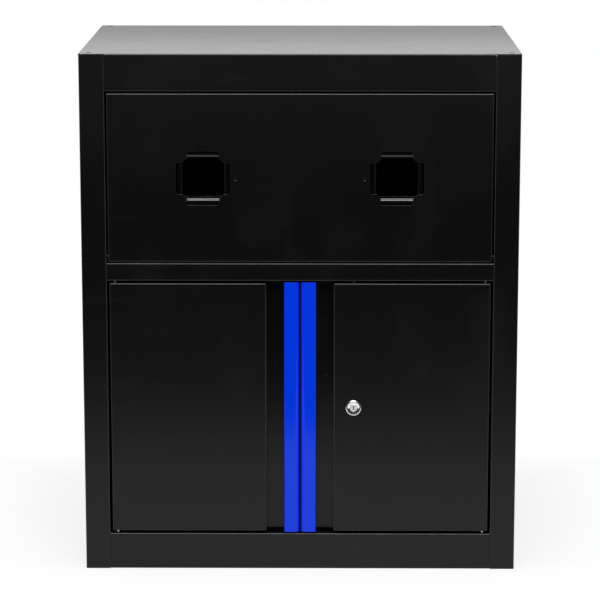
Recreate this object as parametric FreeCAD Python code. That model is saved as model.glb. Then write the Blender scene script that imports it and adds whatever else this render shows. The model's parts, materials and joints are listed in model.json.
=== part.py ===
import FreeCAD
import Part
import math
import os

# Hose reel cabinet of folded steel sheet: a reel bay behind a drop-down flap with two roller
# outlets, above a cupboard with two doors and a rod lock. Sizes in millimetres.
# The frame has +Z up, the front towards -Y and the origin on the floor under the middle.

Vector = FreeCAD.Vector

# Carcass
cabinet_width = 680.0
cabinet_depth = 460.0
cabinet_height = 820.0
carcass_sheet = 1.2
bend_inside = 1.0
stile_width = 39.0
stile_return = 25.0
rear_return = 20.0
top_rail_height = 58.0
middle_rail_height = 28.0
base_rail_height = 58.0
cupboard_opening_height = 408.0
rail_return = 40.0
rail_lip = 12.0
rear_flange = 20.0
seam_gap = 0.3
worktop_hole_diameter = 9.0
worktop_hole_side_inset = 15.0
worktop_hole_end_inset = 16.5

# Reel bay floor and supply entries
reel_centre_inset = 190.0
reel_bolt_spacing_x = 110.0
reel_bolt_spacing_y = 140.0
reel_bolt_hole_diameter = 9.0
supply_hole_diameter = 50.0
supply_hole_drop = 80.0
grommet_wall = 4.0
grommet_lip = 4.0
grommet_flange = 3.0
grommet_membrane = 1.0

# Back panel screws
back_screw_diameter = 4.0
back_screw_head_diameter = 8.0
back_screw_head_height = 2.2
back_screw_length = 7.0
back_screw_end_inset = 60.0
back_screw_rows = 5

# Shelf
shelf_height = 270.0
shelf_sheet = 1.0
shelf_edge = 25.0
shelf_edge_return = 12.0
shelf_front_setback = 45.0
shelf_rear_gap = 6.0
shelf_side_gap = 1.0
shelf_rail_width = 22.0
shelf_rail_drop = 30.0
shelf_rail_inset = 40.0

# Pivots and fits
pivot_pin_diameter = 5.0
pivot_pin_head_diameter = 8.0
pivot_pin_head_height = 2.0
pivot_bush_diameter = 7.6
pivot_bush_flange_diameter = 9.0
pivot_bush_flange = 1.5
pivot_bush_length = 12.0
running_clearance = 0.05
seat_clearance = 0.05
rest_gap = 0.3

# Flap and hose outlets
flap_sheet = 1.0
flap_depth = 20.0
flap_corner = 2.0
flap_gap = 3.0
flap_bottom_gap = 2.0
flap_lip = 16.0
flap_pivot_depth = 6.5
flap_pivot_rise = 8.0
outlet_span = 84.0
outlet_lobe_width = 50.0
outlet_lobe_corner = 4.5
outlet_chamfer = 6.0
pilot_hole_diameter = 3.0
pilot_hole_gap = 8.0
pilot_hole_drop = 2.0
pilot_hole_chamfer = 0.6

# Outlet rollers and their frames
roller_diameter = 16.0
roller_length = 52.0
roller_offset = 38.0
roller_axis_depth = 11.0
roller_end_chamfer = 1.0
roller_end_play = 0.4
roller_pin_diameter = 5.0
roller_pin_head_diameter = 7.0
roller_pin_head_height = 1.2
roller_pin_overhang = 2.0
frame_sheet = 1.5
frame_half_width = 52.0
frame_flange = 14.0
frame_back_gap = 1.0
frame_lug_radius = 5.0
frame_hole_width = 62.0
frame_hole_corner = 4.0
stud_diameter = 4.0
stud_length = 8.0
stud_spacing = 70.0
stud_nut_width = 7.0
stud_nut_height = 3.2

# Doors and handles
door_sheet = 1.0
door_corner = 2.0
door_gap = 4.0
door_centre_gap = 2.4
door_pivot_inset = 8.0
door_pivot_depth = 8.0
finger_recess_width = 28.0
finger_recess_depth = 20.0
recess_floor_end_gap = 3.6
handle_width = 23.8
handle_sheet = 1.2
handle_overhang = 1.5
handle_lip = 6.0
handle_round = 8.0
handle_flange = 20.8
rivet_diameter = 3.2
rivet_head_diameter = 6.5
rivet_head_height = 1.0
rivet_end_inset = 48.0
rivet_count = 3
stiffener_sheet = 0.8
stiffener_width = 40.0
stiffener_flange = 12.0
stiffener_depth = 15.0
stiffener_end_gap = 12.0

# Magnetic catches
catch_width = 30.0
catch_depth = 15.0
catch_height = 14.0
catch_corner = 2.0
magnet_width = 16.0
magnet_height = 7.0
magnet_depth = 8.0
magnet_proud = 0.5
catch_screw_spacing = 22.0
catch_screw_diameter = 3.0
catch_screw_head_diameter = 5.5
catch_screw_head_height = 1.8
flap_catch_inset = 68.0

# Lock and rods, on the right door
lock_offset = 84.0
lock_height = 263.0
lock_bezel_diameter = 24.0
lock_bezel_height = 2.2
lock_bezel_chamfer = 0.8
lock_dish_diameter = 19.0
lock_dish_depth = 1.7
lock_barrel_diameter = 19.0
lock_barrel_length = 8.0
lock_plug_diameter = 10.6
lock_plug_recess = 0.7
keyhole_width = 1.6
keyhole_height = 7.0
keyhole_depth = 6.0
lock_nut_width = 24.0
lock_nut_height = 4.0
cam_sheet = 2.0
cam_gap = 0.5
cam_hub_diameter = 18.0
cam_arm = 12.0
cam_end_diameter = 10.0
cam_pin_diameter = 4.0
cam_square = 6.0
cam_screw_diameter = 3.6
cam_screw_head_diameter = 7.0
cam_screw_head_height = 2.0
cam_screw_length = 8.0
rod_diameter = 8.0
rod_axis_depth = 13.0
rod_plate = 1.5
rod_plate_gap = 0.5
rod_plate_border = 4.0
rod_start = 20.0
rod_tip_length = 5.0
rod_tip_diameter = 4.4
rod_reach = 3.0
rod_hole_clearance = 1.0
rod_slot_play = 0.1
rod_slot_lift = 2.7
rod_guide_width = 18.0
rod_guide_height = 12.0
rod_guide_wall = 2.5
rod_guide_end_gap = 56.0

# Places worked out from the sizes above
half_width = cabinet_width / 2
half_opening = half_width - stile_width
reel_centre = half_width - reel_centre_inset
front_y = -cabinet_depth / 2
back_y = cabinet_depth / 2
under_top = cabinet_height - carcass_sheet
wall_inside = half_width - carcass_sheet
back_panel_rear = back_y - carcass_sheet
back_panel_front = back_panel_rear - carcass_sheet
base_top = base_rail_height
middle_rail_bottom = base_top + cupboard_opening_height
reel_floor_top = middle_rail_bottom + middle_rail_height
top_rail_bottom = cabinet_height - top_rail_height
rail_half_length = half_opening - seam_gap
door_bottom = base_top + door_gap
door_top = middle_rail_bottom - door_gap
door_outer = half_opening - door_gap
door_back = front_y + finger_recess_depth + door_sheet
door_skin_back = front_y + door_sheet
handle_inner = door_centre_gap / 2
handle_outer = handle_inner + handle_width
recess_outer = handle_outer + finger_recess_width
door_pivot = Vector(door_outer - door_pivot_inset, front_y + door_pivot_depth, 0)
flap_half_width = half_opening - flap_gap
flap_bottom = reel_floor_top + flap_bottom_gap
flap_top = top_rail_bottom - flap_gap
flap_back = front_y + flap_depth
flap_skin_back = front_y + flap_sheet
flap_pivot_y = front_y + flap_pivot_depth
flap_pivot_z = flap_bottom + flap_pivot_rise
outlet_z = (flap_bottom + flap_top) / 2
roller_y = front_y + roller_axis_depth
frame_back_y = roller_y + roller_diameter / 2 + frame_back_gap
lug_start = roller_length / 2 + roller_end_play
stud_x = frame_half_width + frame_flange / 2
shelf_under = shelf_height - shelf_sheet
shelf_front = front_y + shelf_front_setback
shelf_back = back_panel_front - shelf_rear_gap
lock_centre = Vector(lock_offset, front_y, lock_height)
cam_front = lock_barrel_length + cam_gap
cam_back = cam_front + cam_sheet
rod_y = front_y + rod_axis_depth

X_AXIS = Vector(1, 0, 0)
Y_AXIS = Vector(0, 1, 0)
Z_AXIS = Vector(0, 0, 1)
SIDES = {"left": -1, "right": 1}


def plan_point(u, v, level):
    """Point of a section drawn in plan, at a height."""
    return Vector(u, v, level)


def side_point(u, v, level):
    """Point of a section drawn from the side, at a place across the cabinet."""
    return Vector(level, u, v)


def front_point(u, v, level):
    """Point of a section drawn from the front, at a depth."""
    return Vector(u, level, v)


def heading(start, end):
    """Unit direction from one section point to another."""
    length = math.hypot(end[0] - start[0], end[1] - start[1])
    return ((end[0] - start[0]) / length, (end[1] - start[1]) / length)


def left_of(direction):
    """Unit direction a quarter turn to the left."""
    return (-direction[1], direction[0])


def moved(point, direction, distance):
    """Section point moved along a direction."""
    return (point[0] + direction[0] * distance, point[1] + direction[1] * distance)


def bend_points(corner, before, after, inside, sheet):
    """Start, middle and end of one bend, on the face that the path draws and on its back."""
    side = 1 if before[0] * after[1] - before[1] * after[0] > 0 else -1
    face_radius = inside + sheet if side > 0 else inside
    back_radius = face_radius - side * sheet
    half_turn = 0.5 * math.acos(before[0] * after[0] + before[1] * after[1])
    start = moved(corner, before, -face_radius * math.tan(half_turn))
    end = moved(corner, after, face_radius * math.tan(half_turn))
    centre = moved(start, left_of(before), side * face_radius)
    outward = heading(centre, corner)
    face = (start, moved(centre, outward, face_radius), end)
    back = (moved(start, left_of(before), sheet), moved(centre, outward, back_radius),
            moved(end, left_of(after), sheet))
    return face, back


def folded(path, radii, sheet, to_space, start, length):
    """Folded sheet: its face runs along the path, the sheet lies to the left of it."""
    headings = [heading(a, b) for a, b in zip(path, path[1:])]
    face_run = [path[0]]
    back_run = [moved(path[0], left_of(headings[0]), sheet)]
    for corner, before, after, inside in zip(path[1:-1], headings, headings[1:], radii):
        face, back = bend_points(corner, before, after, inside, sheet)
        face_run.extend(face)
        back_run.extend(back)
    face_run.append(path[-1])
    back_run.append(moved(path[-1], left_of(headings[-1]), sheet))
    outline = [[to_space(u, v, start) for u, v in run] for run in (face_run, back_run[::-1])]
    edges = []
    for run, following in zip(outline, outline[::-1]):
        for index in range(0, len(run) - 1, 3):
            edges.append(Part.makeLine(run[index], run[index + 1]))
            if index + 3 < len(run):
                edges.append(Part.Arc(*run[index + 1:index + 4]).toShape())
        edges.append(Part.makeLine(run[-1], following[0]))
    return Part.Face(Part.Wire(edges)).extrude(to_space(0, 0, length))


def block(x, y, z):
    """Box between two values along each axis."""
    low = Vector(min(x), min(y), min(z))
    return Part.makeBox(max(x) - low.x, max(y) - low.y, max(z) - low.z, low)


def rounded_block(x, y, z, radius, axis):
    """Box with its four edges along one axis rounded."""
    shape = block(x, y, z)
    edges = [e for e in shape.Edges if abs(e.tangentAt(e.FirstParameter).dot(axis)) > 0.5]
    return shape.makeFillet(radius, edges)


def tray(x, z, front, back, sheet, radius):
    """Pan with a rounded rim, open at the back."""
    outer = block(x, (front, back), z)
    kept = [e for e in outer.Edges if e.CenterOfMass.y < back - sheet]
    outer = outer.makeFillet(radius, kept)
    inner = block((min(x) + sheet, max(x) - sheet), (front + sheet, back + radius),
                  (min(z) + sheet, max(z) - sheet))
    kept = [e for e in inner.Edges if e.CenterOfMass.y < back + radius - sheet]
    return outer.cut(inner.makeFillet(radius - sheet, kept))


def bar(start, axis, diameter, length):
    """Round bar from a point along an axis."""
    return Part.makeCylinder(diameter / 2, length, start, axis)


def turned(outline, base, axis):
    """Solid of revolution: outline points are (distance along the axis, radius)."""
    points = [Vector(radius, 0, along) for along, radius in outline]
    shape = Part.Face(Part.makePolygon(points + points[:1])).revolve(Vector(), Z_AXIS, 360)
    shape.Placement = FreeCAD.Placement(base, FreeCAD.Rotation(Z_AXIS, axis))
    return shape


def hexagon(centre, axis, width, height, bore):
    """Hexagon nut with a plain bore, standing on a point."""
    radius = width / math.sqrt(3)
    angles = [math.radians(60 * step) for step in range(7)]
    rim = [Vector(radius * math.cos(a), radius * math.sin(a), 0) for a in angles]
    nut = Part.Face(Part.makePolygon(rim)).extrude(Vector(0, 0, height))
    nut = nut.cut(bar(Vector(), Z_AXIS, bore, height))
    nut.Placement = FreeCAD.Placement(centre, FreeCAD.Rotation(Z_AXIS, axis))
    return nut


def headed_pin(base, axis, diameter, length, head_diameter, head_height):
    """Pin with a chamfered head below its seat at the base, its shank along the axis."""
    edge = head_height / 3
    outline = [(-head_height, 0), (-head_height, head_diameter / 2 - edge),
               (edge - head_height, head_diameter / 2), (0, head_diameter / 2),
               (0, diameter / 2), (length - edge, diameter / 2),
               (length, diameter / 2 - edge), (length, 0)]
    return turned(outline, base, axis)


def flanged_bush(base, axis):
    """Pivot bush whose flange lies behind a sheet: its mouth at the base, its body along the axis."""
    bore = pivot_pin_diameter / 2 + running_clearance
    body = pivot_bush_diameter / 2
    flange = pivot_bush_flange_diameter / 2
    outline = [(0, bore), (0, body), (door_sheet, body), (door_sheet, flange),
               (door_sheet + pivot_bush_flange, flange), (door_sheet + pivot_bush_flange, body),
               (pivot_bush_length, body), (pivot_bush_length, bore)]
    return turned(outline, base, axis)


def mirrored(shape):
    """The same piece on the other side of the cabinet."""
    return shape.mirror(Vector(), X_AXIS)


def at_side(shape, side):
    """A piece drawn for the left side, set on the side that is named."""
    return shape if side == "left" else mirrored(shape)


def cut_all(shape, tools):
    """Piece with several holes cut from it."""
    return shape.cut(Part.Compound(tools))


def fused(shapes):
    """One clean solid from touching shapes."""
    return shapes[0].fuse(shapes[1:]).removeSplitter()


def back_screw_places():
    """Heights of the back panel screws in one column."""
    pitch = (cabinet_height - 2 * back_screw_end_inset) / (back_screw_rows - 1)
    return [back_screw_end_inset + pitch * row for row in range(back_screw_rows)]


def back_screw_holes(diameter):
    """Holes for both columns of back panel screws."""
    column = half_width - rear_return / 2
    return [bar(Vector(sign * column, back_panel_front, z), Y_AXIS, diameter, 2 * carcass_sheet)
            for sign in SIDES.values() for z in back_screw_places()]


def side_panel():
    """Left side panel: rear return, wall, stile and the stile's return in one folded sheet."""
    path = [(rear_return - half_width, back_y), (-half_width, back_y), (-half_width, front_y),
            (-half_opening, front_y), (-half_opening, front_y + stile_return)]
    wall = folded(path, [bend_inside] * 3, carcass_sheet, plan_point, 0, under_top)
    pivot_hole = bar(Vector(-half_opening, flap_pivot_y, flap_pivot_z), -X_AXIS,
                     pivot_pin_diameter + 2 * seat_clearance, carcass_sheet)
    return cut_all(wall, back_screw_holes(back_screw_diameter + 2 * seat_clearance) + [pivot_hole])


def worktop_holes():
    """Bolt holes at the four corners of the top."""
    x = half_width - worktop_hole_side_inset
    y = cabinet_depth / 2 - worktop_hole_end_inset
    return [bar(Vector(sx * x, sy * y, under_top), Z_AXIS, worktop_hole_diameter, carcass_sheet)
            for sx in SIDES.values() for sy in (-1, 1)]


def top_panel():
    """Top sheet with the top rail folded down in front and a flange folded down behind."""
    fold = 4 * (carcass_sheet + bend_inside)
    rear_half = half_width - rear_return - seam_gap
    front_path = [(front_y + fold, cabinet_height), (front_y, cabinet_height),
                  (front_y, top_rail_bottom), (front_y + rail_return, top_rail_bottom),
                  (front_y + rail_return, top_rail_bottom + rail_lip)]
    rear_path = [(back_y, cabinet_height - rear_flange), (back_y, cabinet_height),
                 (back_y - fold, cabinet_height)]
    rail = folded(front_path, [bend_inside] * 3, carcass_sheet, side_point,
                  -rail_half_length, 2 * rail_half_length)
    flange = folded(rear_path, [bend_inside], carcass_sheet, side_point, -rear_half, 2 * rear_half)
    sheet = block((-half_width, half_width), (front_y, back_y), (under_top, cabinet_height))
    notches = [block((-rail_half_length, rail_half_length), (front_y, front_y + fold),
                     (under_top, cabinet_height)),
               block((-rear_half, rear_half), (back_y - fold, back_y), (under_top, cabinet_height))]
    return cut_all(fused([cut_all(sheet, notches), rail, flange]), worktop_holes())


def front_notches(z):
    """Cuts that let a floor pass the returns of both stiles."""
    room = stile_return + rest_gap
    return [block((sign * rail_half_length, sign * half_width), (front_y, front_y + room), z)
            for sign in SIDES.values()]


def door_pin_holes(z):
    """Seats of the door pivot pins in a rail sheet whose lower face is at a height."""
    size = pivot_pin_diameter + 2 * seat_clearance
    return [bar(Vector(sign * door_pivot.x, door_pivot.y, z), Z_AXIS, size, carcass_sheet)
            for sign in SIDES.values()]


def rod_hole(z):
    """Hole that a lock rod enters, in a rail sheet whose lower face is at a height."""
    size = rod_diameter + 2 * rod_hole_clearance
    return bar(Vector(lock_offset, rod_y, z), Z_AXIS, size, carcass_sheet)


def reel_bay_floor():
    """Floor of the reel bay, with the middle rail folded from its front edge."""
    path = [(back_panel_front, reel_floor_top - rear_flange), (back_panel_front, reel_floor_top),
            (front_y, reel_floor_top), (front_y, middle_rail_bottom),
            (front_y + rail_return, middle_rail_bottom),
            (front_y + rail_return, middle_rail_bottom + rail_lip)]
    floor = folded(path, [bend_inside] * 4, carcass_sheet, side_point, -wall_inside, 2 * wall_inside)
    floor = cut_all(floor, front_notches((middle_rail_bottom, reel_floor_top)))
    bolts = [bar(Vector(sign * reel_centre + dx, dy, reel_floor_top - carcass_sheet), Z_AXIS,
                 reel_bolt_hole_diameter, carcass_sheet)
             for sign in SIDES.values()
             for dx in (-reel_bolt_spacing_x / 2, reel_bolt_spacing_x / 2)
             for dy in (-reel_bolt_spacing_y / 2, reel_bolt_spacing_y / 2)]
    return cut_all(floor, bolts + door_pin_holes(middle_rail_bottom) + [rod_hole(middle_rail_bottom)])


def base_panel():
    """Cupboard floor, with the bottom rail folded from its front edge."""
    path = [(back_panel_front, base_top - rear_flange), (back_panel_front, base_top),
            (front_y, base_top), (front_y, 0), (front_y + stile_return, 0)]
    floor = folded(path, [bend_inside] * 3, carcass_sheet, side_point, -wall_inside, 2 * wall_inside)
    floor = cut_all(floor, front_notches((0, base_top)))
    under = base_top - carcass_sheet
    return cut_all(floor, door_pin_holes(under) + [rod_hole(under)])


def supply_place(sign):
    """Middle of a supply hole on the front of the back panel."""
    return Vector(sign * reel_centre, back_panel_front, cabinet_height - supply_hole_drop)


def back_panel():
    """Back sheet, inside the rear returns of the side panels."""
    half = wall_inside - bend_inside
    sheet = block((-half, half), (back_panel_front, back_panel_rear), (0, under_top - bend_inside))
    holes = [bar(supply_place(sign), Y_AXIS, supply_hole_diameter, carcass_sheet)
             for sign in SIDES.values()]
    return cut_all(sheet, holes + back_screw_holes(back_screw_diameter + 2 * seat_clearance))


def back_panel_screws():
    """Screws that hold the back panel to the rear returns."""
    column = half_width - rear_return / 2
    return Part.Compound([
        headed_pin(Vector(sign * column, back_y, z), -Y_AXIS, back_screw_diameter, back_screw_length,
                   back_screw_head_diameter, back_screw_head_height)
        for sign in SIDES.values() for z in back_screw_places()])


def supply_grommet(sign):
    """Rubber grommet in a supply hole: a lip on each side of the sheet, closed by a membrane."""
    outer = supply_hole_diameter / 2
    bore = outer - grommet_wall
    lip = outer + grommet_lip
    taper = grommet_flange / 2
    outline = [(-grommet_membrane, 0), (-grommet_membrane, bore), (-grommet_flange, bore),
               (-grommet_flange, lip - taper), (-taper, lip), (0, lip), (0, outer),
               (carcass_sheet, outer), (carcass_sheet, outer + taper),
               (2 * carcass_sheet, bore + taper), (2 * carcass_sheet, bore), (0, bore), (0, 0)]
    return turned(outline, supply_place(sign), Y_AXIS)


def shelf():
    """Shelf with its front and rear edges folded down."""
    half = wall_inside - shelf_side_gap
    path = [(shelf_back, shelf_height - shelf_edge), (shelf_back, shelf_height),
            (shelf_front, shelf_height), (shelf_front, shelf_height - shelf_edge),
            (shelf_front + shelf_edge_return, shelf_height - shelf_edge)]
    return folded(path, [bend_inside] * 3, shelf_sheet, side_point, -half, 2 * half)


def shelf_rail():
    """Angle on the left side panel that carries one end of the shelf."""
    path = [(shelf_rail_width - wall_inside, shelf_under), (-wall_inside, shelf_under),
            (-wall_inside, shelf_under - shelf_rail_drop)]
    start = shelf_front + shelf_rail_inset
    length = shelf_back - shelf_front - 2 * shelf_rail_inset
    return folded(path, [bend_inside], carcass_sheet, front_point, start, length)


def flap_hinge_pins():
    """Pivot pins of the flap, headed inside the stiles."""
    length = carcass_sheet + flap_gap + pivot_bush_length
    pin = headed_pin(Vector(-half_opening - carcass_sheet, flap_pivot_y, flap_pivot_z), X_AXIS,
                     pivot_pin_diameter, length, pivot_pin_head_diameter, pivot_pin_head_height)
    return Part.Compound([pin, mirrored(pin)])


def door_pins():
    """Upper and lower pivot pin of the left door, headed behind the rails."""
    length = carcass_sheet + door_gap + pivot_bush_length
    places = [(middle_rail_bottom + carcass_sheet, -Z_AXIS), (base_top - carcass_sheet, Z_AXIS)]
    return Part.Compound([
        headed_pin(Vector(-door_pivot.x, door_pivot.y, z), axis, pivot_pin_diameter, length,
                   pivot_pin_head_diameter, pivot_pin_head_height)
        for z, axis in places])


def catch_places():
    """Name, middle, front and top of each magnetic catch."""
    recess_middle = (handle_outer + recess_outer) / 2
    places = []
    for side, sign in SIDES.items():
        places.append((side + "_door", sign * recess_middle, door_back + rest_gap, middle_rail_bottom))
        places.append((side + "_flap", sign * (flap_half_width - flap_catch_inset), flap_back + rest_gap,
                       top_rail_bottom))
    return places


def catch_body(x, front, top):
    """Catch housing under a rail return, with a pocket for its magnet and two screw holes."""
    start = front + magnet_proud
    body = rounded_block((x - catch_width / 2, x + catch_width / 2), (start, start + catch_depth),
                         (top - catch_height, top), catch_corner, Z_AXIS)
    middle = top - catch_height / 2
    pocket = block((x - magnet_width / 2, x + magnet_width / 2), (start, front + magnet_depth),
                   (middle - magnet_height / 2, middle + magnet_height / 2))
    holes = [bar(Vector(x + dx, start + catch_depth / 2, top - catch_height), Z_AXIS,
                 catch_screw_diameter + 2 * seat_clearance, catch_height)
             for dx in (-catch_screw_spacing / 2, catch_screw_spacing / 2)]
    return cut_all(body, [pocket] + holes)


def catch_magnets():
    """Magnets of all catches."""
    magnets = []
    for _, x, front, top in catch_places():
        middle = top - catch_height / 2
        magnets.append(block((x - magnet_width / 2, x + magnet_width / 2), (front, front + magnet_depth),
                             (middle - magnet_height / 2, middle + magnet_height / 2)))
    return Part.Compound(magnets)


def catch_screws():
    """Screws that hold the catches under the rail returns."""
    return Part.Compound([
        headed_pin(Vector(x + dx, front + magnet_proud + catch_depth / 2, top - catch_height), Z_AXIS,
                   catch_screw_diameter, catch_height, catch_screw_head_diameter,
                   catch_screw_head_height)
        for _, x, front, top in catch_places()
        for dx in (-catch_screw_spacing / 2, catch_screw_spacing / 2)])


def carcass():
    """All pieces that stand still."""
    pieces = {
        "top_panel": top_panel(), "reel_bay_floor": reel_bay_floor(), "base_panel": base_panel(),
        "back_panel": back_panel(), "back_panel_screws": back_panel_screws(), "shelf": shelf(),
        "flap_hinge_pins": flap_hinge_pins(), "catch_magnets": catch_magnets(),
        "catch_screws": catch_screws()}
    for side, sign in SIDES.items():
        pieces[side + "_side_panel"] = at_side(side_panel(), side)
        pieces[side + "_shelf_rail"] = at_side(shelf_rail(), side)
        pieces[side + "_supply_grommet"] = supply_grommet(sign)
        pieces[side + "_door_pins"] = at_side(door_pins(), side)
    for name, x, front, top in catch_places():
        pieces[name + "_catch"] = catch_body(x, front, top)
    return pieces


def outlet_cutter(x):
    """Cross-shaped hose outlet: two rounded slots and a square with its corners cut off."""
    span = outlet_span / 2
    lobe = outlet_lobe_width / 2
    depth = (front_y, flap_skin_back)
    square = lobe + outlet_chamfer
    upright = rounded_block((x - lobe, x + lobe), depth, (outlet_z - span, outlet_z + span),
                            outlet_lobe_corner, Y_AXIS)
    level = rounded_block((x - span, x + span), depth, (outlet_z - lobe, outlet_z + lobe),
                          outlet_lobe_corner, Y_AXIS)
    middle = block((x - square, x + square), depth, (outlet_z - square, outlet_z + square))
    along_depth = [e for e in middle.Edges if abs(e.tangentAt(e.FirstParameter).y) > 0.5]
    return upright.fuse([level, middle.makeChamfer(outlet_chamfer, along_depth)])


def stud_places(x):
    """Places of the weld studs round one outlet, on the back of the flap's skin."""
    return [Vector(x + dx, flap_skin_back, outlet_z + dz)
            for dx in (-stud_x, stud_x) for dz in (-stud_spacing / 2, stud_spacing / 2)]


def flap_panel():
    """Flap pan with two outlets, stiffening lips, pivot holes and weld studs."""
    pan = tray((-flap_half_width, flap_half_width), (flap_bottom, flap_top), front_y, flap_back,
               flap_sheet, flap_corner)
    lip_half = flap_half_width - flap_depth
    lips = [block((-lip_half, lip_half), (flap_back - flap_sheet, flap_back), z)
            for z in ((flap_top - flap_lip, flap_top - flap_sheet / 2),
                      (flap_bottom + flap_sheet / 2, flap_bottom + flap_lip))]
    studs = [bar(place, Y_AXIS, stud_diameter, stud_length)
             for sign in SIDES.values() for place in stud_places(sign * reel_centre)]
    pan = fused([pan] + lips + studs)
    pilot_x = reel_centre - outlet_span / 2 - pilot_hole_gap
    pilot_radius = pilot_hole_diameter / 2
    cuts = []
    for sign in SIDES.values():
        cuts.append(outlet_cutter(sign * reel_centre))
        pilot = Vector(sign * pilot_x, front_y, outlet_z - pilot_hole_drop)
        cuts.append(bar(pilot, Y_AXIS, pilot_hole_diameter, flap_sheet))
        cuts.append(Part.makeCone(pilot_radius + pilot_hole_chamfer, pilot_radius, pilot_hole_chamfer,
                                  pilot, Y_AXIS))
        cuts.append(bar(Vector(sign * flap_half_width, flap_pivot_y, flap_pivot_z), -sign * X_AXIS,
                        pivot_bush_diameter + 2 * seat_clearance, flap_sheet))
    return cut_all(pan, cuts)


def flap_bushes():
    """Pivot bushes in both ends of the flap."""
    bush = flanged_bush(Vector(-flap_half_width, flap_pivot_y, flap_pivot_z), X_AXIS)
    return Part.Compound([bush, mirrored(bush)])


def roller_directions():
    """Axis and place of the four rollers, seen from the middle of an outlet."""
    return {"upper": (X_AXIS, Z_AXIS * roller_offset), "lower": (X_AXIS, -Z_AXIS * roller_offset),
            "inner": (Z_AXIS, X_AXIS * roller_offset), "outer": (Z_AXIS, -X_AXIS * roller_offset)}


def roller_places(sign):
    """Name, axis and centre of each roller of one outlet; inner is towards the cabinet's middle."""
    centre = Vector(sign * reel_centre, roller_y, outlet_z)
    places = []
    for name, (axis, offset) in roller_directions().items():
        places.append((name, axis, centre + Vector(-sign * offset.x, 0, offset.z)))
    return places


def lug(axis, centre, distance):
    """Round-nosed lug of a roller frame, standing forward from its back at one roller end."""
    low = centre + axis * distance
    across = Vector(axis.z, 0, axis.x) * frame_lug_radius
    nose = bar(low, axis, 2 * frame_lug_radius, frame_sheet)
    first = low - across
    last = low + across + axis * frame_sheet
    return nose.fuse(block((first.x, last.x), (roller_y, frame_back_y + frame_sheet / 2),
                           (first.z, last.z)))


def roller_frame(sign):
    """Hat-shaped frame behind an outlet, with a hose hole and a pair of lugs for each roller."""
    x = sign * reel_centre
    path = [(x - frame_half_width - frame_flange, flap_skin_back), (x - frame_half_width, flap_skin_back),
            (x - frame_half_width, frame_back_y), (x + frame_half_width, frame_back_y),
            (x + frame_half_width, flap_skin_back),
            (x + frame_half_width + frame_flange, flap_skin_back)]
    hat = folded(path, [bend_inside] * 4, frame_sheet, plan_point, outlet_z - frame_half_width,
                 2 * frame_half_width)
    half_hole = frame_hole_width / 2
    hole = rounded_block((x - half_hole, x + half_hole), (frame_back_y, frame_back_y + frame_sheet),
                         (outlet_z - half_hole, outlet_z + half_hole), frame_hole_corner, Y_AXIS)
    lugs = []
    cuts = [hole]
    for _, axis, centre in roller_places(sign):
        for distance in (lug_start, -lug_start - frame_sheet):
            lugs.append(lug(axis, centre, distance))
        cuts.append(bar(centre - axis * roller_length, axis, roller_pin_diameter + 2 * seat_clearance,
                        2 * roller_length))
    for place in stud_places(x):
        cuts.append(bar(place, Y_AXIS, stud_diameter + 4 * seat_clearance, frame_sheet))
    return cut_all(fused([hat] + lugs), cuts)


def roller_pins(sign):
    """Pins of the four rollers of one outlet."""
    end = lug_start + frame_sheet
    return Part.Compound([
        headed_pin(centre - axis * end, axis, roller_pin_diameter, 2 * end + roller_pin_overhang,
                   roller_pin_head_diameter, roller_pin_head_height)
        for _, axis, centre in roller_places(sign)])


def roller(axis, centre):
    """Guide roller with chamfered ends, bored for its pin."""
    bore = roller_pin_diameter / 2 + running_clearance
    full = roller_diameter / 2
    half = roller_length / 2
    outline = [(-half, bore), (-half, full - roller_end_chamfer), (roller_end_chamfer - half, full),
               (half - roller_end_chamfer, full), (half, full - roller_end_chamfer), (half, bore)]
    return turned(outline, centre, axis)


def flap_assembly():
    """The flap, its roller frames and the rollers."""
    pieces = {"flap_panel": flap_panel(), "flap_bushes": flap_bushes()}
    nuts = []
    for side, sign in SIDES.items():
        pieces[side + "_roller_frame"] = roller_frame(sign)
        pieces[side + "_roller_pins"] = roller_pins(sign)
        for name, axis, centre in roller_places(sign):
            pieces["roller_" + side + "_" + name] = roller(axis, centre)
        for place in stud_places(sign * reel_centre):
            nuts.append(hexagon(place + Y_AXIS * frame_sheet, Y_AXIS, stud_nut_width, stud_nut_height,
                                stud_diameter + 2 * seat_clearance))
    pieces["roller_frame_nuts"] = Part.Compound(nuts)
    return pieces


def door_panel():
    """Left door: a pan, with the floor of the finger recess folded out from its inner wall."""
    pan = tray((-door_outer, -recess_outer), (door_bottom, door_top), front_y, door_back,
               door_sheet, door_corner)
    floor_face = front_y + finger_recess_depth
    path = [(-recess_outer, front_y + 2 * door_corner), (-recess_outer, floor_face),
            (-handle_inner - handle_sheet - recess_floor_end_gap, floor_face)]
    recess = folded(path, [bend_inside], door_sheet, plan_point, door_bottom, door_top - door_bottom)
    corners = rounded_block((-door_outer, 0), (front_y, door_back + door_sheet), (door_bottom, door_top),
                            door_corner, Y_AXIS)
    hole = pivot_bush_diameter + 2 * seat_clearance
    pivots = [bar(Vector(-door_pivot.x, door_pivot.y, z), Z_AXIS, hole, door_sheet)
              for z in (door_bottom, door_top - door_sheet)]
    return cut_all(fused([pan, recess]).common(corners), pivots + rivet_holes())


def rivet_places():
    """Places of the handle rivets of the left door, on the face of the recess floor."""
    x = -handle_inner - handle_flange / 2
    y = front_y + finger_recess_depth
    pitch = (door_top - door_bottom - 2 * rivet_end_inset) / (rivet_count - 1)
    return [Vector(x, y, door_bottom + rivet_end_inset + pitch * row) for row in range(rivet_count)]


def rivet_holes():
    """Rivet holes through the recess floor and the handle flange."""
    return [bar(place, Y_AXIS, rivet_diameter + 2 * seat_clearance, door_sheet + handle_sheet)
            for place in rivet_places()]


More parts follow.
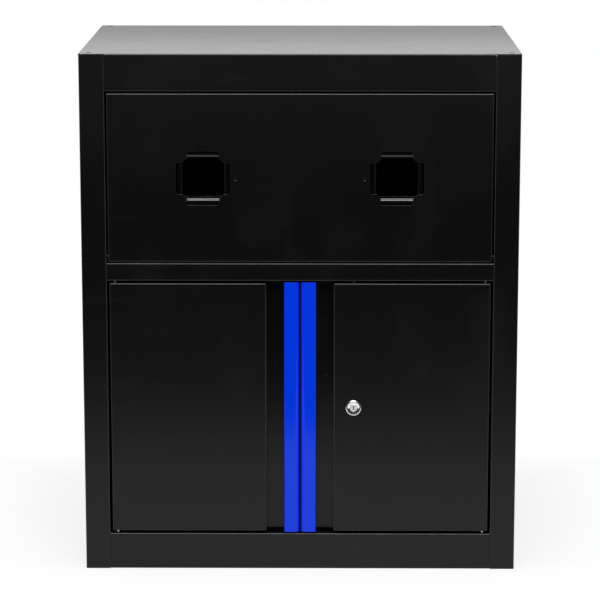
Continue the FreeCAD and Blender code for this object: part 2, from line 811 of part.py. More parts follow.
def door_handle():
    """Left handle strip: a J section with a gripping lip, rounded towards the middle gap."""
    rear = door_back + handle_sheet
    path = [(-handle_outer, front_y + handle_lip), (-handle_outer, front_y), (-handle_inner, front_y),
            (-handle_inner, rear), (-handle_inner - handle_flange, rear)]
    radii = [bend_inside, handle_round - handle_sheet, bend_inside]
    strip = folded(path, radii, handle_sheet, plan_point, door_bottom - handle_overhang,
                   door_top - door_bottom + 2 * handle_overhang)
    return cut_all(strip, rivet_holes())


def handle_rivets():
    """Rivets that join the left handle strip to its door, headed on both sides."""
    grip = door_sheet + handle_sheet
    shank = rivet_diameter / 2
    head = rivet_head_diameter / 2
    crown = head / 2
    outline = [(-rivet_head_height, 0), (-rivet_head_height, crown), (0, head), (0, shank),
               (grip, shank), (grip, head), (grip + rivet_head_height, crown),
               (grip + rivet_head_height, 0)]
    return Part.Compound([turned(outline, place, Y_AXIS) for place in rivet_places()])


def door_bushes():
    """Upper and lower pivot bush of the left door."""
    x = -door_pivot.x
    return Part.Compound([flanged_bush(Vector(x, door_pivot.y, door_bottom), Z_AXIS),
                          flanged_bush(Vector(x, door_pivot.y, door_top), -Z_AXIS)])


def door_stiffener():
    """Upright hat-shaped stiffener on the back of the left door's skin."""
    middle = -(door_outer + recess_outer) / 2
    inside = stiffener_width / 2
    outside = inside + stiffener_flange
    back = door_skin_back + stiffener_depth
    path = [(middle - outside, door_skin_back), (middle - inside, door_skin_back), (middle - inside, back),
            (middle + inside, back), (middle + inside, door_skin_back), (middle + outside, door_skin_back)]
    start = door_bottom + stiffener_end_gap
    return folded(path, [bend_inside] * 4, stiffener_sheet, plan_point, start,
                  door_top - stiffener_end_gap - start)


def lock_door_panel():
    """Right door: the mirrored panel with holes for the lock and for both rods."""
    rod_size = rod_diameter + 2 * rest_gap
    lock_hole = bar(lock_centre, Y_AXIS, lock_barrel_diameter + 2 * seat_clearance, door_sheet)
    rods = [bar(Vector(lock_offset, rod_y, z), Z_AXIS, rod_size, door_sheet)
            for z in (door_bottom, door_top - door_sheet)]
    return cut_all(mirrored(door_panel()), rods + [lock_hole])


def doors():
    """Both doors with their handles, pivots and stiffeners."""
    pieces = {"left_door_panel": door_panel(), "right_door_panel": lock_door_panel()}
    for side in SIDES:
        pieces[side + "_door_handle"] = at_side(door_handle(), side)
        pieces[side + "_handle_rivets"] = at_side(handle_rivets(), side)
        pieces[side + "_door_bushes"] = at_side(door_bushes(), side)
        pieces[side + "_door_stiffener"] = at_side(door_stiffener(), side)
    return pieces


def lock_body():
    """Bezel and barrel of the lock, dished round the plug."""
    bore = lock_plug_diameter / 2 + running_clearance
    rim = lock_bezel_diameter / 2
    front = -lock_bezel_height
    outline = [(lock_barrel_length, bore), (lock_barrel_length, lock_barrel_diameter / 2),
               (0, lock_barrel_diameter / 2), (0, rim), (front + lock_bezel_chamfer, rim),
               (front, rim - lock_bezel_chamfer), (front, lock_dish_diameter / 2),
               (front + lock_dish_depth, bore)]
    return turned(outline, lock_centre, Y_AXIS)


def lock_plug():
    """Lock plug with a keyhole in front and a square end that carries the cam."""
    front = lock_plug_recess - lock_bezel_height
    plug = bar(lock_centre + Y_AXIS * front, Y_AXIS, lock_plug_diameter, lock_barrel_length - front)
    half = cam_square / 2
    end = block((lock_offset - half, lock_offset + half),
                (front_y + lock_barrel_length, front_y + cam_back),
                (lock_height - half, lock_height + half))
    keyhole = rounded_block((lock_offset - keyhole_width / 2, lock_offset + keyhole_width / 2),
                            (front_y + front, front_y + front + keyhole_depth),
                            (lock_height - keyhole_height / 2, lock_height + keyhole_height / 2),
                            keyhole_width / 4, Y_AXIS)
    screw = bar(lock_centre + Y_AXIS * (cam_back - cam_screw_length), Y_AXIS,
                cam_screw_diameter + 2 * seat_clearance, cam_screw_length)
    return cut_all(fused([plug, end]), [keyhole, screw])


def lock_cam():
    """Cam with a round hub, two arms and a drive pin on each arm."""
    half = cam_square / 2 + seat_clearance
    face = lock_centre + Y_AXIS * cam_front
    arm = cam_end_diameter / 2
    depth = (face.y, face.y + cam_sheet)
    shapes = [bar(face, Y_AXIS, cam_hub_diameter, cam_sheet),
              block((lock_offset - cam_arm, lock_offset + cam_arm), depth,
                    (lock_height - arm, lock_height + arm))]
    pin_end = rod_axis_depth + rod_diameter / 2
    for sign in (-1, 1):
        end = face + X_AXIS * (sign * cam_arm)
        shapes.append(bar(end, Y_AXIS, cam_end_diameter, cam_sheet))
        shapes.append(bar(end, Y_AXIS, cam_pin_diameter, pin_end - cam_front))
    square = block((lock_offset - half, lock_offset + half), depth, (lock_height - half, lock_height + half))
    return fused(shapes).cut(square)


def lock_rod(sign, plate_start):
    """Lock rod above (1) or below (-1) the lock: a bar with a tapered tip and a slotted end plate."""
    axis = Z_AXIS * sign
    edge = door_top if sign > 0 else door_bottom
    base = Vector(lock_offset, rod_y, lock_height + sign * rod_start)
    length = abs(edge - base.z) + rod_reach
    full = rod_diameter / 2
    shaft = turned([(0, 0), (0, full), (length - rod_tip_length, full), (length, rod_tip_diameter / 2),
                    (length, 0)], base, axis)
    play = cam_pin_diameter / 2 + rod_slot_play
    # The upper rod is lifted by the left cam pin, the lower rod is pushed down by the right one.
    pin_x = lock_offset - sign * cam_arm
    far_x = lock_offset + sign * play
    near_x = pin_x - sign * play
    slot_low = lock_height - sign * play
    slot_high = lock_height + sign * (play + rod_slot_lift)
    depth = (front_y + plate_start, front_y + plate_start + rod_plate)
    plate = rounded_block((near_x - sign * rod_plate_border, far_x + sign * rod_plate_border), depth,
                          (slot_low - sign * rod_plate_border, base.z + sign * rod_diameter),
                          rod_plate_border / 2, Y_AXIS)
    slot = rounded_block((near_x, far_x), depth, (slot_low, slot_high), cam_pin_diameter / 2, Y_AXIS)
    return fused([shaft, plate]).cut(slot)


def rod_guides():
    """Guide blocks on the back of the door's skin that both rods run in."""
    half = rod_guide_width / 2
    guides = []
    for z in (door_bottom + rod_guide_end_gap, door_top - rod_guide_end_gap):
        low = z - rod_guide_height / 2
        body = rounded_block((lock_offset - half, lock_offset + half),
                             (door_skin_back, rod_y + rod_diameter / 2 + rod_guide_wall),
                             (low, low + rod_guide_height), rod_guide_wall / 2, Z_AXIS)
        guides.append(body.cut(bar(Vector(lock_offset, rod_y, low), Z_AXIS,
                                   rod_diameter + 2 * running_clearance, rod_guide_height)))
    return Part.Compound(guides)


def lock_assembly():
    """Lock, cam and rods of the right door."""
    lower_plate = cam_back + cam_screw_head_height + rod_plate_gap
    upper_plate = lower_plate + rod_plate + rod_plate_gap
    return {
        "lock_body": lock_body(), "lock_plug": lock_plug(), "lock_cam": lock_cam(),
        "lock_nut": hexagon(lock_centre + Y_AXIS * door_sheet, Y_AXIS, lock_nut_width, lock_nut_height,
                            lock_barrel_diameter + 2 * seat_clearance),
        "lock_cam_screw": headed_pin(lock_centre + Y_AXIS * cam_back, -Y_AXIS, cam_screw_diameter,
                                     cam_screw_length, cam_screw_head_diameter, cam_screw_head_height),
        "upper_lock_rod": lock_rod(1, upper_plate), "lower_lock_rod": lock_rod(-1, lower_plate),
        "rod_guides": rod_guides()}


os.makedirs("parts", exist_ok=True)
for assembly in (carcass(), flap_assembly(), doors(), lock_assembly()):
    for node, shape in assembly.items():
        shape.exportStep("parts/" + node + ".step")
        print(node, len(shape.Solids), shape.isValid(), round(shape.Volume))
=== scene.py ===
"""Dresses the hose reel cabinet in its finishes and detailed fasteners, in a plain studio."""

from __future__ import annotations

import json
import logging
import math
from dataclasses import dataclass
from enum import Enum
from typing import Any, ClassVar, Sequence

import bmesh
import bpy
from mathutils import Matrix, Vector

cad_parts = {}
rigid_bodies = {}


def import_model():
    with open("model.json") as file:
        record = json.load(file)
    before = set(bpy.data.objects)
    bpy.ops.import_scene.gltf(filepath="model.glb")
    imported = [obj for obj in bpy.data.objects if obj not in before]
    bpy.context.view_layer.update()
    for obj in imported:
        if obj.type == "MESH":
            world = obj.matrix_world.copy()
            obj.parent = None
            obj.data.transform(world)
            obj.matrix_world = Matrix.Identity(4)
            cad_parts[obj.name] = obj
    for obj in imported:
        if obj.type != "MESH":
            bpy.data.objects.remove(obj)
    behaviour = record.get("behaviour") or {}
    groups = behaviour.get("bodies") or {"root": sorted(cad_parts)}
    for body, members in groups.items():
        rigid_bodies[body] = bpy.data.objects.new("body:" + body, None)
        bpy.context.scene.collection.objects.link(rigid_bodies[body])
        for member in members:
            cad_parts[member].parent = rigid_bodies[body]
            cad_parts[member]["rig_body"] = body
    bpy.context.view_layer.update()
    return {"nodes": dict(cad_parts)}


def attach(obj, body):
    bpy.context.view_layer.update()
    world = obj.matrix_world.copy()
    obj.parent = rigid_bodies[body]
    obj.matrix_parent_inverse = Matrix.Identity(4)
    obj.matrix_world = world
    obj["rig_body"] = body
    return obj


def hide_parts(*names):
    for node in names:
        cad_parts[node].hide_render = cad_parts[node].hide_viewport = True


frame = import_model()

LOG = logging.getLogger("hose_reel_cabinet")
MILLIMETRE = 0.001
MERGE_DISTANCE = 0.000002
SLIVER_MM = 0.005
ORDER_DIGITS = 5
LARGEST_FACE = 4
SMOOTH_ANGLE = math.radians(32)
PLANAR_ANGLE = math.radians(0.2)
LEVEL_SHARE = math.cos(math.radians(2.0))
WHITE = (1.0, 1.0, 1.0)

Colour = tuple[float, float, float]
Outline = Sequence[tuple[float, float]]
Number = float | int


class Side(Enum):
    """The two sides of the cabinet, seen from the front."""

    LEFT = "left"
    RIGHT = "right"


class Axis(Enum):
    """Axes of the cabinet, numbered as in a vector."""

    ACROSS = 0
    DEPTH = 1
    HEIGHT = 2


class Facing(Enum):
    """Directions that the heads of fasteners look in."""

    FRONT = (0.0, -1.0, 0.0)
    BACK = (0.0, 1.0, 0.0)
    DOWN = (0.0, 0.0, -1.0)

    @property
    def vector(self) -> Vector:
        """The direction as a vector."""
        return Vector(self.value)


class Sock:
    """A node socket that can stand in Python expressions; each operator adds a Math node."""

    def __init__(self, tree: "Tree", socket: bpy.types.NodeSocket | None) -> None:
        """Wraps an output socket of a tree, or nothing for a node without one."""
        self.tree = tree
        self.socket = socket

    def maths(self, operation: str, *values: "Sock | Number") -> "Sock":
        """Result of a Math node with an operation on sockets or numbers."""
        return self.tree.add("ShaderNodeMath", {"operation": operation}, dict(enumerate(values)))

    def __add__(self, other: "Sock | Number") -> "Sock":
        """Sum."""
        return self.maths("ADD", self, other)

    __radd__ = __add__

    def __mul__(self, other: "Sock | Number") -> "Sock":
        """Product."""
        return self.maths("MULTIPLY", self, other)

    __rmul__ = __mul__

    def __sub__(self, other: "Sock | Number") -> "Sock":
        """Difference."""
        return self.maths("SUBTRACT", self, other)

    def __rsub__(self, other: Number) -> "Sock":
        """Difference from a number."""
        return self.maths("SUBTRACT", other, self)

    def __abs__(self) -> "Sock":
        """Size without its sign."""
        return self.maths("ABSOLUTE", self)

    def least(self, other: "Sock | Number") -> "Sock":
        """The smaller of two values."""
        return self.maths("MINIMUM", self, other)

    def most(self, other: "Sock | Number") -> "Sock":
        """The larger of two values."""
        return self.maths("MAXIMUM", self, other)

    def ease(self, low: Number, high: Number) -> "Sock":
        """Smooth step from 0 at a low value to 1 at a high one."""
        sockets = {"Value": self, "From Min": low, "From Max": high}
        return self.tree.add("ShaderNodeMapRange", {"interpolation_type": "SMOOTHSTEP"}, sockets)


class Tree:
    """A node tree that grows by one call for each node."""

    MIX_FIRST: ClassVar[int] = 6
    MIX_SECOND: ClassVar[int] = 7
    BEVEL_SAMPLES: ClassVar[int] = 4
    EDGE_LIMITS: ClassVar[tuple[float, float]] = (0.004, 0.11)
    BEND_LIMITS: ClassVar[tuple[float, float]] = (0.03, 0.22)
    UP_LIMITS: ClassVar[tuple[float, float]] = (0.90, 0.99)

    def __init__(self, tree: bpy.types.NodeTree) -> None:
        """Starts from a node tree, and removes what it holds."""
        self.tree = tree
        tree.nodes.clear()

    def add(self, kind: str, settings: dict[str, Any] | None = None,
            sockets: dict[str | int, Any] | None = None, out: str | int = 0) -> Sock:
        """Adds a node.

        Args:
            kind: The node's type.
            settings: Properties that are set first.
            sockets: Values or links of its inputs, by name or number.
            out: The output to hand back, by name or by its number among those in use.

        Returns:
            The chosen output.
        """
        node = self.tree.nodes.new(kind)
        for name, value in (settings or {}).items():
            setattr(node, name, value)
        for key, value in (sockets or {}).items():
            self.feed(node.inputs[key], value)
        outputs = [socket for socket in node.outputs if socket.enabled]
        if not outputs:
            return Sock(self, None)
        return Sock(self, outputs[out] if isinstance(out, int) else node.outputs[out])

    def feed(self, socket: bpy.types.NodeSocket, value: Any) -> None:
        """Links or sets one input.

        Args:
            socket: The input.
            value: A socket to link, or a number, colour, vector or data-block to set.
        """
        if isinstance(value, Sock):
            self.tree.links.new(value.socket, socket)
        elif socket.type == "RGBA":
            socket.default_value = (*value, 1.0)
        else:
            socket.default_value = value

    def place(self, stretch: Colour = (1.0, 1.0, 1.0)) -> Sock:
        """Object coordinates, stretched along X, Y and Z."""
        point = self.add("ShaderNodeTexCoord", out="Object")
        return self.add("ShaderNodeMapping", None, {"Vector": point, "Scale": stretch})

    def part(self, vector: Sock, axis: Axis) -> Sock:
        """One component of a vector."""
        return self.add("ShaderNodeSeparateXYZ", None, {0: vector}, out=axis.value)

    def blend(self, mask: Sock, first: Colour | Sock, second: Colour | Sock) -> Sock:
        """Colour between two, the first where a mask is 0 and the second where it is 1."""
        sockets = {"Factor": mask, self.MIX_FIRST: first, self.MIX_SECOND: second}
        return self.add("ShaderNodeMix", {"data_type": "RGBA"}, sockets)

    def rounded(self, radius: float) -> Sock:
        """Normal of the surface with its edges rounded by a radius in metres."""
        return self.add("ShaderNodeBevel", {"samples": self.BEVEL_SAMPLES}, {"Radius": radius})

    def edges(self, rounded: Sock) -> Sock:
        """Mask along the edges.

        Args:
            rounded: The normal with rounded edges.

        Returns:
            A mask that rises from 0 on flat ground towards 1 at an edge.
        """
        flat = self.add("ShaderNodeNewGeometry", out="Normal")
        together = self.add("ShaderNodeVectorMath", {"operation": "DOT_PRODUCT"},
                            {0: rounded, 1: flat}, out="Value")
        return (1.0 - together).ease(*self.EDGE_LIMITS)

    def bends(self) -> Sock:
        """Mask of the folds.

        Returns:
            A mask that is 0 on faces along the axes and 1 in the middle of a bend.
        """
        normal = self.add("ShaderNodeTexCoord", out="Normal")
        sizes = [abs(self.part(normal, axis)) for axis in Axis]
        return (1.0 - sizes[0].most(sizes[1]).most(sizes[2])).ease(*self.BEND_LIMITS)

    def forward(self, back: float, front: float) -> Sock:
        """Mask on faces that look up.

        Args:
            back: Depth of the cabinet that gives 0.
            front: Depth that gives 1.

        Returns:
            The mask.
        """
        normal = self.add("ShaderNodeTexCoord", out="Normal")
        up = self.part(normal, Axis.HEIGHT).ease(*self.UP_LIMITS)
        return up * self.part(self.place(), Axis.DEPTH).ease(back, front)

    def mirror_rays(self) -> Sock:
        """Mask of the rays that metal and glass send out."""
        glossy = self.add("ShaderNodeLightPath", out="Is Glossy Ray")
        return glossy.most(self.add("ShaderNodeLightPath", out="Is Transmission Ray"))

    def surface(self, **sockets: Any) -> None:
        """Closes a material with a Principled shader.

        Args:
            sockets: Inputs, with spaces in their names written as underscores.
        """
        named: dict[str | int, Any] = {name.replace("_", " "): value for name, value in sockets.items()}
        shader = self.add("ShaderNodeBsdfPrincipled", None, named)
        self.add("ShaderNodeOutputMaterial", None, {"Surface": shader})


@dataclass(frozen=True)
class Noise:
    """Fractal noise: features in a metre, octaves, strength of the finer ones, and stretch."""

    scale: float
    detail: float
    rough: float = 0.55
    stretch: Colour = (1.0, 1.0, 1.0)

    def value(self, tree: Tree) -> Sock:
        """Noise between 0 and 1, grown in a node tree."""
        sockets = {"Vector": tree.place(self.stretch), "Scale": self.scale, "Detail": self.detail,
                   "Roughness": self.rough}
        return tree.add("ShaderNodeTexNoise", {"noise_dimensions": "3D"}, sockets)


@dataclass(frozen=True)
class Patches(Noise):
    """Noise that is cut into patches between two limits."""

    low: float = 0.0
    high: float = 1.0

    def mask(self, tree: Tree) -> Sock:
        """Mask that is 0 between the patches and 1 inside them."""
        return self.value(tree).ease(self.low, self.high)


@dataclass(frozen=True)
class Relief(Noise):
    """Noise that stands out of the surface by a height in metres."""

    height: float = 0.0
    strength: float = 1.0

    def normal(self, tree: Tree, value: Sock, base: Sock | None = None) -> Sock:
        """Normal of the bumpy surface.

        Args:
            tree: The node tree that it grows in.
            value: The relief's noise.
            base: A normal to add to.

        Returns:
            The normal.
        """
        sockets: dict[str | int, Any] = {"Height": value, "Distance": self.height,
                                         "Strength": self.strength}
        if base is not None:
            sockets["Normal"] = base
        return tree.add("ShaderNodeBump", None, sockets)


@dataclass(frozen=True)
class Finish:
    """A surface finish; each kind paints its own node tree."""

    name: str
    slot: str
    made: ClassVar[dict[str, bpy.types.Material]] = {}

    def material(self) -> bpy.types.Material:
        """The finish's material, built once.

        Returns:
            The material.
        """
        if self.name not in self.made:
            material = bpy.data.materials.new(self.name)
            material.use_nodes = True
            self.paint(Tree(material.node_tree))
            self.made[self.name] = material
        return self.made[self.name]

    def paint(self, tree: Tree) -> None:
        """Builds the nodes in an empty tree."""
        raise NotImplementedError


@dataclass(frozen=True)
class PowderCoat(Finish):
    """Satin powder coat: fine grain, slow waves, worn edges, painted highlights along the folds, dust,
    smears, and painted light that makes the upper part lighter.
    """

    colour: Colour = (0.0014, 0.0014, 0.0015)
    # Colour of real smears, and of the painted light that lightens the upper part.
    smear_and_top_light_colour: Colour = (0.0062, 0.0062, 0.0064)
    dust_colour: Colour = (0.030, 0.030, 0.029)
    # Colour of worn edges, and of the painted highlight along the folds.
    edge_wear_and_highlight_colour: Colour = (0.050, 0.050, 0.051)
    edge_radius: float = 0.0009
    roughness: float = 0.30
    gloss: float = 0.29
    smear_dulling: float = 0.06
    grain_dulling: float = 0.06
    grain_middle: float = 0.5
    wear_shine: float = 0.08
    # Share of the painted highlight that every fold gets, even where nothing rubs it.
    fold_highlight_and_wear: float = 0.55
    smear_share: float = 0.4
    # Painted light: the heights and strength of the lighter upper part, standing in for light from above.
    top_light_low: float = 0.53
    top_light_high: float = 0.84
    top_light_share: float = 0.75
    polish: float = 0.0
    polish_back: float = 0.21
    polish_front: float = -0.23
    nick_colour: Colour = (0.55, 0.55, 0.53)
    nick_place: Colour = (0.3010, -0.2300, 0.8175)
    nick_size: float = 0.0011
    nick_rim: float = 1.5
    nick_raggedness: float = 0.6
    grain: Relief = Relief(1500.0, 2.0, height=0.000022, strength=0.6)
    wave: Relief = Relief(95.0, 2.0, height=0.00006, strength=0.35)
    cloud: Patches = Patches(12.0, 5.0, 0.62, (1.0, 1.0, 0.6), low=0.46, high=0.74)
    wipe: Patches = Patches(5.0, 5.0, 0.60, (1.0, 1.0, 9.0), low=0.60, high=0.78)
    rub: Patches = Patches(240.0, 3.0, low=0.35, high=0.65)
    dust: Patches = Patches(330.0, 1.0, low=0.775, high=0.80)

    def paint(self, tree: Tree) -> None:
        """Builds grain, waves, edge wear, painted fold highlights, marks and painted top light.

        Args:
            tree: The empty node tree.
        """
        grain, wave, rub = self.grain.value(tree), self.wave.value(tree), self.rub.mask(tree)
        smear = (self.cloud.mask(tree) + self.wipe.mask(tree)) * self.smear_share
        rounded = tree.rounded(self.edge_radius)
        # Painted highlight: every fold gets a lighter colour, standing in for light caught by the bend;
        # rubbed patches add real wear on edges.
        fold_highlight_and_wear = tree.bends() * (self.fold_highlight_and_wear + rub * (1.0 - self.fold_highlight_and_wear))
        wear_and_fold_highlight = (tree.edges(rounded) * rub).most(fold_highlight_and_wear)
        height = tree.part(tree.place(), Axis.HEIGHT)
        # Painted light: the coat gets lighter towards the top, standing in for light falling from above.
        painted_top_light = height.ease(self.top_light_low, self.top_light_high) * self.top_light_share
        colour = tree.blend((smear + painted_top_light).least(1.0), self.colour, self.smear_and_top_light_colour)
        colour = tree.blend(wear_and_fold_highlight, colour, self.edge_wear_and_highlight_colour)
        colour = tree.blend(self.dust.mask(tree), colour, self.dust_colour)
        colour = tree.blend(self.nick(tree, grain), colour, self.nick_colour)
        roughness = self.roughness + smear * self.smear_dulling - wear_and_fold_highlight * self.wear_shine
        roughness = roughness + (grain - self.grain_middle) * self.grain_dulling
        if self.polish:
            roughness = roughness - tree.forward(self.polish_back, self.polish_front) * self.polish
        normal = self.grain.normal(tree, grain, self.wave.normal(tree, wave, rounded))
        tree.surface(Base_Color=colour, Roughness=roughness, Specular_IOR_Level=self.gloss, Normal=normal)

    def nick(self, tree: Tree, grain: Sock) -> Sock:
        """Mask of the one chip in the coat.

        Args:
            tree: The node tree.
            grain: Noise that makes the chip's rim ragged.

        Returns:
            A mask that is 1 inside the chip.
        """
        away = tree.add("ShaderNodeVectorMath", {"operation": "DISTANCE"},
                        {0: tree.place(), 1: self.nick_place}, out="Value")
        ragged = away + grain * (self.nick_size * self.nick_raggedness)
        return 1.0 - ragged.ease(self.nick_size, self.nick_size * self.nick_rim)


@dataclass(frozen=True)
class GlossPaint(Finish):
    """Smooth gloss paint with slight orange peel."""

    colour: Colour = (0.0004, 0.046, 0.87)
    deep_colour: Colour = (0.0003, 0.040, 0.79)
    roughness: float = 0.10
    gloss: float = 0.20
    dust_dulling: float = 0.12
    depth_dulling: float = 0.03
    edge_radius: float = 0.0008
    peel: Relief = Relief(420.0, 1.0, height=0.00001, strength=0.5)
    depth: Noise = Noise(14.0, 3.0, stretch=(1.0, 1.0, 0.3))
    dust: Patches = Patches(900.0, 2.0, low=0.66, high=0.80)

    def paint(self, tree: Tree) -> None:
        """Builds orange peel, faint dust and a slow change of depth.

        Args:
            tree: The empty node tree.
        """
        peel, depth, dust = self.peel.value(tree), self.depth.value(tree), self.dust.mask(tree)
        tree.surface(Base_Color=tree.blend(depth, self.deep_colour, self.colour),
                     Roughness=self.roughness + dust * self.dust_dulling + depth * self.depth_dulling,
                     Specular_IOR_Level=self.gloss,
                     Normal=self.peel.normal(tree, peel, tree.rounded(self.edge_radius)))


@dataclass(frozen=True)
class PlatedMetal(Finish):
    """Plated or polished metal with fine tool marks and handling marks."""

    colour: Colour = (0.74, 0.74, 0.72)
    dull_colour: Colour = (0.58, 0.58, 0.56)
    roughness: float = 0.38
    spread: float = 0.12
    mark_dulling: float = 0.05
    marks: Relief = Relief(2600.0, 3.0, stretch=(1.0, 1.0, 0.05), height=0.000006, strength=0.4)
    dull: Patches = Patches(160.0, 4.0, low=0.45, high=0.75)

    def paint(self, tree: Tree) -> None:
        """Builds tool marks and dull patches.

        Args:
            tree: The empty node tree.
        """
        marks, dull = self.marks.value(tree), self.dull.mask(tree)
        tree.surface(Base_Color=tree.blend(dull, self.colour, self.dull_colour), Metallic=1.0,
                     Roughness=self.roughness + dull * self.spread + marks * self.mark_dulling,
                     Normal=self.marks.normal(tree, marks))


@dataclass(frozen=True)
class Moulded(Finish):
    """Moulded nylon or rubber: fine spark texture and a few shiny rubs."""

    colour: Colour = (0.012, 0.012, 0.013)
    pale_colour: Colour = (0.03, 0.03, 0.032)
    roughness: float = 0.55
    rub_shine: float = 0.15
    grain_dulling: float = 0.05
    grain: Relief = Relief(2200.0, 3.0, height=0.00003, strength=0.6)
    rub: Patches = Patches(120.0, 4.0, low=0.5, high=0.75)

    def paint(self, tree: Tree) -> None:
        """Builds grain and rubs.

        Args:
            tree: The empty node tree.
        """
        grain, rub = self.grain.value(tree), self.rub.mask(tree)
        tree.surface(Base_Color=tree.blend(rub, self.colour, self.pale_colour),
                     Roughness=self.roughness - rub * self.rub_shine + grain * self.grain_dulling,
                     Normal=self.grain.normal(tree, grain))


class Finishes:
    """Every finish that the cabinet wears."""

    BLACK = PowderCoat("black_powder_coat", "black_powder_coat")
    RUBBED = PowderCoat("black_powder_coat_rubbed", "black_powder_coat", polish=0.115)
    # Painted shade: the finger recess gets lower gloss to darken it, and a smoother coat.
    RECESS = PowderCoat("black_powder_coat_recess", "black_powder_coat", roughness=0.23, gloss=0.26)
    BLUE = GlossPaint("blue_gloss_paint", "blue_gloss_paint")
    CHROME = PlatedMetal("polished_chrome", "chrome", (0.80, 0.80, 0.81), (0.66, 0.66, 0.67), 0.08, 0.08)
    SATIN = PlatedMetal("satin_nickel", "chrome", (0.84, 0.84, 0.83), (0.74, 0.74, 0.73), 0.50, 0.10)
    ZINC = PlatedMetal("bright_zinc", "zinc_steel")
    BLUED = PlatedMetal("blued_pin", "zinc_steel", (0.030, 0.030, 0.032), (0.020, 0.020, 0.021),
                        0.55, 0.15)
    ROLLER = PlatedMetal("blackened_roller", "black_roller_steel", (0.042, 0.042, 0.045),
                         (0.030, 0.030, 0.032), 0.11, 0.08)
    NYLON = Moulded("black_nylon", "black_nylon")
    RUBBER = Moulded("black_rubber", "rubber", (0.009, 0.009, 0.009), (0.02, 0.02, 0.02), 0.75)


def link(name: str, mesh: bpy.types.Mesh) -> bpy.types.Object:
    """Puts a mesh into the scene.

    Args:
        name: The new object's name.
        mesh: Its mesh.

    Returns:
        The object, at the origin.
    """
    thing = bpy.data.objects.new(name, mesh)
    bpy.context.scene.collection.objects.link(thing)
    return thing


def smooth_by_angle(mesh: bpy.types.Mesh) -> None:
    """Shades bends smooth and keeps the edges of a sheet sharp."""
    mesh.polygons.foreach_set("use_smooth", [True] * len(mesh.polygons))
    mesh.set_sharp_from_angle(angle=SMOOTH_ANGLE)


def shade_folds(mesh: bpy.types.Mesh) -> None:
    """Shades a sheet's faces along the axes flat and the folds between them smoothly.

    Args:
        mesh: The folded sheet.
    """
    level: dict[int, Vector] = {}
    around: list[list[bpy.types.MeshPolygon]] = [[] for _ in mesh.vertices]
    for face in mesh.polygons:
        longest = max((axis.value for axis in Axis), key=lambda k: abs(face.normal[k]))
        if abs(face.normal[longest]) > LEVEL_SHARE:
            level[face.index] = Vector([0.0, 0.0, 0.0])
            level[face.index][longest] = math.copysign(1.0, face.normal[longest])
        for vert in face.vertices:
            around[vert].append(face)
    normals: list[Vector] = [Vector()] * len(mesh.loops)
    for face in mesh.polygons:
        for corner, vert in zip(face.loop_indices, face.vertices):
            near = [f for f in around[vert] if f.normal.dot(face.normal) > math.cos(SMOOTH_ANGLE)]
            flats = [level[f.index] for f in near if f.index in level]
            if face.index in level:
                normals[corner] = level[face.index]
            elif flats:
                normals[corner] = flats[0]
            else:
                normals[corner] = sum((f.normal * f.area for f in near), Vector()).normalized()
    mesh.normals_split_custom_set(normals)


def baked(thing: bpy.types.Object) -> bpy.types.Mesh:
    """Plain mesh of an object with its modifiers applied."""
    graph = bpy.context.evaluated_depsgraph_get()
    return bpy.data.meshes.new_from_object(thing.evaluated_get(graph), depsgraph=graph)


def box_of(points: Sequence[Vector]) -> tuple[Vector, Vector]:
    """Low and high corners of some points."""
    low, high = (Vector(pick(p[axis.value] for p in points) for axis in Axis) for pick in (min, max))
    return low, high


def lathe(outline: Outline, steps: int) -> bmesh.types.BMesh:
    """Round solid about Z.

    Args:
        outline: Radii and heights from one end of the axis to the other.
        steps: Facets round the axis.

    Returns:
        The closed solid, facing outwards.
    """
    shape = bmesh.new()
    rings = []
    for radius, height in outline:
        turns = [math.tau * k / steps for k in range(steps if radius > 0 else 1)]
        rings.append([shape.verts.new((radius * math.cos(turn), radius * math.sin(turn), height))
                      for turn in turns])
    for low, high in zip(rings, rings[1:]):
        for k in range(steps):
            corners = (low[k % len(low)], low[(k + 1) % len(low)],
                       high[(k + 1) % len(high)], high[k % len(high)])
            shape.faces.new(list(dict.fromkeys(corners)))
    bmesh.ops.recalc_face_normals(shape, faces=shape.faces)
    return shape


def cross(reach: float, width: float, low: float, high: float, taper: float) -> bmesh.types.BMesh:
    """Tapered cross that a driver bit leaves in a screw head.

    Args:
        reach: Length of an arm at the top.
        width: Width of an arm.
        low: Height of the bottom.
        high: Height of the top.
        taper: Size of the bottom against the top.

    Returns:
        The closed solid.
    """
    half, arms = width / 2, 4
    arm = [Vector((x, y, 0.0)) for x, y in ((reach, -half), (reach, half), (half, half))]
    plan = [Matrix.Rotation(math.tau * k / arms, 3, "Z") @ p for k in range(arms) for p in arm]
    shape = bmesh.new()
    bottom = [shape.verts.new((p.x * taper, p.y * taper, low)) for p in plan]
    top = [shape.verts.new((p.x, p.y, high)) for p in plan]
    shape.faces.new(bottom)
    shape.faces.new(top)
    for k in range(len(plan)):
        j = (k + 1) % len(plan)
        shape.faces.new((bottom[k], bottom[j], top[j], top[k]))
    bmesh.ops.recalc_face_normals(shape, faces=shape.faces)
    return shape


def to_mesh(name: str, shape: bmesh.types.BMesh) -> bpy.types.Mesh:
    """Turns an edited shape into a mesh and frees it.

    Args:
        name: The mesh's name.
        shape: The edited shape.

    Returns:
        The mesh.
    """
    mesh = bpy.data.meshes.new(name)
    shape.to_mesh(mesh)
    shape.free()
    return mesh


def combined(first: bpy.types.Mesh, second: bpy.types.Mesh, operation: str) -> bpy.types.Mesh:
    """One solid in millimetres, cut by or shared with another.

    Args:
        first: The solid that is kept.
        second: The solid that works on it.
        operation: DIFFERENCE or INTERSECT.

    Returns:
        The resulting mesh.
    """
    body, tool = link("body", first), link("tool", second)
    modifier = body.modifiers.new("combine", "BOOLEAN")
    modifier.operation = operation
    modifier.solver = "EXACT"
    modifier.object = tool
    shape = bmesh.new()
    shape.from_mesh(baked(body))
    bmesh.ops.remove_doubles(shape, verts=shape.verts, dist=SLIVER_MM)
    bmesh.ops.dissolve_degenerate(shape, edges=shape.edges, dist=SLIVER_MM)
    for thing in (body, tool):
        bpy.data.objects.remove(thing)
    return to_mesh("combined", shape)


